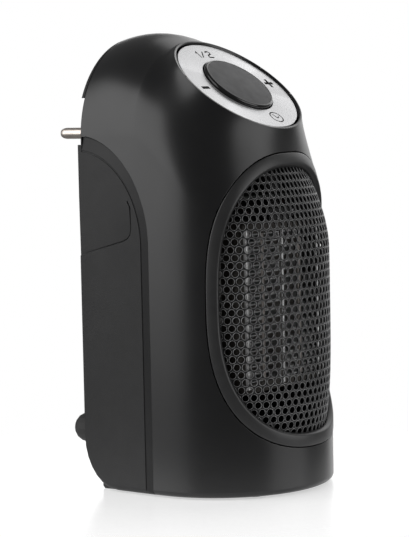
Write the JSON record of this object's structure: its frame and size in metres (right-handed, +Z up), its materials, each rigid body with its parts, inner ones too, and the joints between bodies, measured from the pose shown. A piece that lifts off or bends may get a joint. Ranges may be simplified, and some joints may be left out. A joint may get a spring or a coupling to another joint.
{
  "type": "plug-in ceramic fan heater",
  "caption": "Plug-in ceramic fan heater: rounded two-shell housing, perforated front grille, tilted control ring, rotating mains plug on the back.",
  "frame": {"origin": "middle of the whole object's footprint, plug pins included, on the surface that the feet stand on", "axes": "+Z up, -Y out of the front grille, +Y along the plug pins"},
  "size_m": [0.1013, 0.1328, 0.2073],
  "materials": {
    "gloss_shell": "satin gloss moulded",
    "matte_shell": "fine matt texture",
    "frame_plastic": "fine matt texture",
    "grille_metal": "semi-matt painted perforated sheet",
    "silver_ring": "circular brushed",
    "display_black": "matt top with gloss edge",
    "inner_plastic": "as moulded",
    "nickel": "nickel plated",
    "brass": "bright",
    "zinc_steel": "zinc plated",
    "aluminium": "bright folded strip",
    "ptc_ceramic": "sintered",
    "heat_plastic": "glass filled",
    "circuit_board": "solder mask",
    "terminal_plastic": "as moulded",
    "fan_plastic": "as moulded",
    "wire_insulation": "smooth",
    "rocker_plastic": "polished",
    "rubber": "matt"
  },
  "bodies": {
    "housing": {"board_transformer": "terminal_plastic", "contact_block_1": "brass", "contact_block_2": "brass", "display_lens": "display_black", "fan_motor": "zinc_steel", "fan_shroud": "inner_plastic", "filter_capacitor": "inner_plastic", "front_shell": "gloss_shell", "grille": "grille_metal", "grille_frame": "frame_plastic", "heater_lead_1": "wire_insulation", "heater_lead_2": "wire_insulation", "heater_relay": "inner_plastic", "housing_screw_1": "zinc_steel", "housing_screw_2": "zinc_steel", "housing_screw_3": "zinc_steel", "housing_screw_4": "zinc_steel", "key_board": "circuit_board", "key_switch_1": "zinc_steel", "key_switch_2": "zinc_steel", "key_switch_3": "zinc_steel", "key_switch_4": "zinc_steel", "mains_terminals": "terminal_plastic", "mains_wire_1": "wire_insulation", "mains_wire_2": "wire_insulation", "power_board": "circuit_board", "ptc_fins_1": "aluminium", "ptc_fins_2": "aluminium", "ptc_fins_3": "aluminium", "ptc_fins_4": "aluminium", "ptc_frame": "heat_plastic", "ptc_stone_1": "ptc_ceramic", "ptc_stone_2": "ptc_ceramic", "ptc_stone_3": "ptc_ceramic", "rear_shell": "matte_shell", "ring_seat": "inner_plastic", "room_sensor": "inner_plastic", "rubber_foot_1": "rubber", "rubber_foot_2": "rubber", "rubber_foot_3": "rubber", "rubber_foot_4": "rubber", "smoothing_capacitor": "inner_plastic", "switch_bezel": "inner_plastic", "thermal_cutout": "inner_plastic", "thermal_fuse": "zinc_steel", "turntable_plate": "inner_plastic", "wall_bumper_1": "rubber", "wall_bumper_2": "rubber"},
    "plug": {"plug_turntable": "matte_shell", "plug_pin_1": "nickel", "plug_pin_2": "nickel", "turntable_retainer": "inner_plastic"},
    "ring_gimbal": {"ring_carrier": "inner_plastic"},
    "key_ring": {"control_ring": "silver_ring"},
    "fan": {"fan_impeller": "fan_plastic", "motor_shaft": "zinc_steel"},
    "rocker": {"power_rocker": "rocker_plastic"}
  },
  "joints": [
    {"name": "plug_turn", "type": "hinge", "parent": "housing", "child": "plug", "pos_m": [0, 0.02902, 0.1616], "axis": [0, 1, 0], "range_deg": [-90, 90]},
    {"name": "ring_pitch", "type": "hinge", "parent": "housing", "child": "ring_gimbal", "pos_m": [0, -0.02598, 0.18055], "axis": [1, 0, 0], "range_deg": [-1.4, 1.4], "stiffness_Nm_per_rad": 3},
    {"name": "ring_roll", "type": "hinge", "parent": "ring_gimbal", "child": "key_ring", "pos_m": [0, -0.02598, 0.18055], "axis": [0, 0.7672, 0.6414], "range_deg": [-1.4, 1.4], "stiffness_Nm_per_rad": 3},
    {"name": "fan_spin", "type": "hinge", "parent": "housing", "child": "fan", "pos_m": [0, -0.01738, 0.084], "axis": [0, 1, 0], "continuous": true},
    {"name": "rocker_toggle", "type": "hinge", "parent": "housing", "child": "rocker", "pos_m": [0.04829, 0.01762, 0.072], "axis": [0.1043, -0.9945, 0], "range_deg": [0, 14]}
  ]
}
